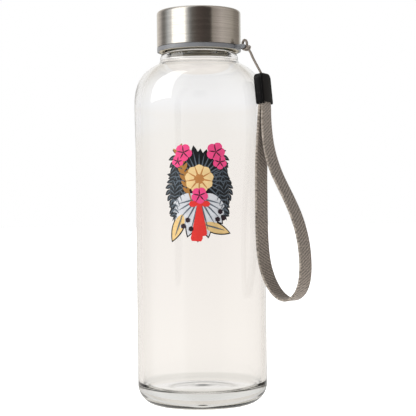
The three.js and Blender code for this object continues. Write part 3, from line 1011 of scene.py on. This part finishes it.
class BOTTLE_OT_stage(bpy.types.Operator):
    """Set the pale floor, the soft window light and the studio round the bottle"""

    bl_idname = "bottle.stage"
    bl_label = "Studio"

    def execute(self, context):
        self.make_floor()
        self.make_room(context)
        # The steel shell has one light to itself, and the other lights the rest, for a highlight on each.
        window = self.make_window("window", (-1.24, -0.06, 0.125), (-0.600, 0.522, 0.125), 4.0)
        strip = self.make_window("strip_light", (-0.978, 0.208, -0.9), (-0.588, 0.809, -0.9), 1.2)
        self.share_light(window, "EXCLUDE")
        self.share_light(strip, "INCLUDE")
        context.scene.view_settings.view_transform = "Standard"
        return {"FINISHED"}

    def make_floor(self):
        deselect()
        bpy.ops.mesh.primitive_circle_add(vertices=96, radius=6, fill_type="NGON")
        floor = bpy.context.object
        floor.name = "floor"
        material, _, _ = new_material(
            "white_sweep",
            base_color=to_linear("#F4F4F4"),
            roughness=0.9,
            emission_color=(1, 1, 1, 1),
            emission_strength=0.85,
        )
        floor.data.materials.append(material)
        floor.visible_transmission = False
        floor.visible_glossy = False

    def make_window(self, name, left, right, radiance):
        """A soft upright light over its two lower corners, given to the right, to the front and up."""
        height = 2.4
        shoulder = Vector((0, 0, SHOULDER_Z * MM))
        near, far = (shoulder + TO_RIGHT * x + TO_CAMERA * y + Vector((0, 0, z)) for x, y, z in (left, right))
        wide = far - near
        lamp = bpy.data.lights.new(name, "AREA")
        lamp.shape = "RECTANGLE"
        lamp.size, lamp.size_y = wide.length, height
        lamp.energy = radiance * math.pi * lamp.size * lamp.size_y
        lamp.color = (1.0, 0.99, 0.97)
        light = bpy.data.objects.new(name, lamp)
        bpy.context.scene.collection.objects.link(light)
        x_axis, y_axis = wide.normalized(), Vector((0, 0, 1))
        z_axis = x_axis.cross(y_axis)
        middle = near + wide / 2 + y_axis * height / 2
        if z_axis.dot(middle) < 0:
            x_axis, z_axis = -x_axis, -z_axis
        facing = Matrix((x_axis, y_axis, z_axis)).transposed().to_4x4()
        light.matrix_world = Matrix.Translation(middle) @ facing
        light.visible_camera = False
        light.visible_transmission = False
        return light

    def share_light(self, light, state):
        """Keeps a light off the steel shell, or gives it to the steel shell alone."""
        lit = bpy.data.collections.new(light.name + "_receivers")
        lit.objects.link(bpy.data.objects["steel_shell"])
        lit.collection_objects[0].light_linking.link_state = state
        light.light_linking.receiver_collection = lit

    def make_room(self, context):
        """A white room to the eye, with the darker and lighter walls that the metal mirrors."""
        world = bpy.data.worlds.new("studio")
        context.scene.world = world
        world.use_nodes = True
        tree = world.node_tree
        tree.nodes.clear()
        place = add_node(tree, "ShaderNodeTexCoord").outputs["Generated"]
        facing = {"Vector": place, "Rotation": (0, 0, math.pi / 2 - CAMERA_AZIMUTH)}
        turned_place = add_node(tree, "ShaderNodeMapping", facing).outputs[0]
        split = add_node(tree, "ShaderNodeSeparateXYZ", {"Vector": turned_place}).outputs
        angle = add_node(tree, "ShaderNodeMath", {0: split["Y"], 1: split["X"]}, operation="ARCTAN2")
        whole_turn = {"Value": angle.outputs[0], "From Min": -math.pi, "From Max": math.pi}
        share = add_node(tree, "ShaderNodeMapRange", whole_turn)
        # Walls by their direction from the camera, positive to the right, with their brightness.
        walls = [
            (-180, (0.95, 0.94, 0.92)), (-150, (0.85, 0.82, 0.78)), (-129, (0.6, 0.57, 0.56)),
            (-118, (0.25, 0.245, 0.245)), (-108, (0.25, 0.245, 0.245)), (-99, (0.49, 0.51, 0.53)),
            (-91, (0.8, 0.85, 0.92)), (-84, (0.95, 0.97, 0.99)), (-40, (0.95, 0.97, 0.99)),
            (-34, (0.94, 0.96, 0.98)), (-28, (0.46, 0.475, 0.5)), (-23, (0.24, 0.245, 0.25)),
            (-18, (0.175, 0.165, 0.16)), (-12, (0.155, 0.142, 0.135)), (-7, (0.125, 0.108, 0.102)),
            (4, (0.1, 0.082, 0.077)), (26, (0.07, 0.06, 0.056)), (34, (0.055, 0.045, 0.04)),
            (38, (0.36, 0.335, 0.31)), (54, (0.51, 0.47, 0.455)), (66, (0.65, 0.61, 0.59)),
            (95, (0.535, 0.505, 0.475)), (109, (0.44, 0.41, 0.37)), (113, (0.35, 0.325, 0.3)),
            (140, (0.27, 0.24, 0.215)), (153, (0.73, 0.73, 0.71)), (180, (0.95, 0.94, 0.92)),
        ]
        stops = [(a / 360 + 0.5, (*c, 1)) for a, c in walls]
        mirrored = add_node(tree, "ShaderNodeValToRGB", {"Fac": share.outputs[0]}, stops).outputs["Color"]
        upright = {"Value": split["Z"], "From Min": -1, "From Max": 1}
        height = add_node(tree, "ShaderNodeMapRange", upright)
        # What shows through the glass, from straight down to straight up.
        grey = [
            (0.0, (0.8, 0.78, 0.74, 1)), (0.33, (0.87, 0.84, 0.79, 1)),
            (0.42, (0.95, 0.91, 0.86, 1)), (0.445, (0.97, 0.925, 0.875, 1)),
            (0.5, (0.915, 0.87, 0.83, 1)), (0.544, (0.905, 0.875, 0.835, 1)),
            (0.556, (0.93, 0.93, 0.94, 1)), (0.64, (0.95, 0.94, 0.93, 1)),
            (0.72, (0.8, 0.78, 0.74, 1)), (0.8, (0.42, 0.37, 0.28, 1)),
            (1.0, (0.22, 0.19, 0.13, 1)),
        ]
        through = add_node(tree, "ShaderNodeValToRGB", {"Fac": height.outputs[0]}, grey).outputs["Color"]
        path = add_node(tree, "ShaderNodeLightPath")
        layers = (
            (path.outputs["Is Glossy Ray"], mirrored),
            (path.outputs["Is Transmission Ray"], through),
            (path.outputs["Is Camera Ray"], (1, 1, 1, 1)),
        )
        seen = (0.42, 0.42, 0.43, 1)  # what dull surfaces are lit by
        for test, tone in layers:
            mixed = add_node(tree, "ShaderNodeMix", {"Factor": test, "A": seen, "B": tone}, data_type="RGBA")
            seen = mixed.outputs["Result"]
        background = add_node(tree, "ShaderNodeBackground", {"Color": seen})
        add_node(tree, "ShaderNodeOutputWorld", {"Surface": background.outputs[0]})


PIECES = (
    BOTTLE_OT_camera,
    BOTTLE_OT_hitch_cord,
    BOTTLE_OT_strap,
    BOTTLE_OT_glass,
    BOTTLE_OT_cap,
    BOTTLE_OT_ring,
    BOTTLE_OT_clip,
    BOTTLE_OT_print,
    BOTTLE_OT_stage,
)


class BOTTLE_PT_panel(bpy.types.Panel):
    bl_label = "Glass Water Bottle"
    bl_idname = "BOTTLE_PT_panel"
    bl_space_type = "VIEW_3D"
    bl_region_type = "UI"
    bl_category = "Bottle"

    def draw(self, context):
        for group in (context.scene.bottle_sizes, context.scene.bottle_colours):
            for name in group.__annotations__:
                self.layout.prop(group, name)
        for piece in PIECES:
            self.layout.operator(piece.bl_idname)


CLASSES = (BottleSizes, BottleColours, *PIECES, BOTTLE_PT_panel)


def register():
    for item in CLASSES:
        bpy.utils.register_class(item)
    bpy.types.Scene.bottle_sizes = bpy.props.PointerProperty(type=BottleSizes)
    bpy.types.Scene.bottle_colours = bpy.props.PointerProperty(type=BottleColours)


def unregister():
    del bpy.types.Scene.bottle_colours
    del bpy.types.Scene.bottle_sizes
    for item in reversed(CLASSES):
        bpy.utils.unregister_class(item)


def main():
    register()
    for piece in PIECES:
        group, name = piece.bl_idname.split(".")
        getattr(getattr(bpy.ops, group), name)()
    deselect()


if __name__ == "__main__":
    main()
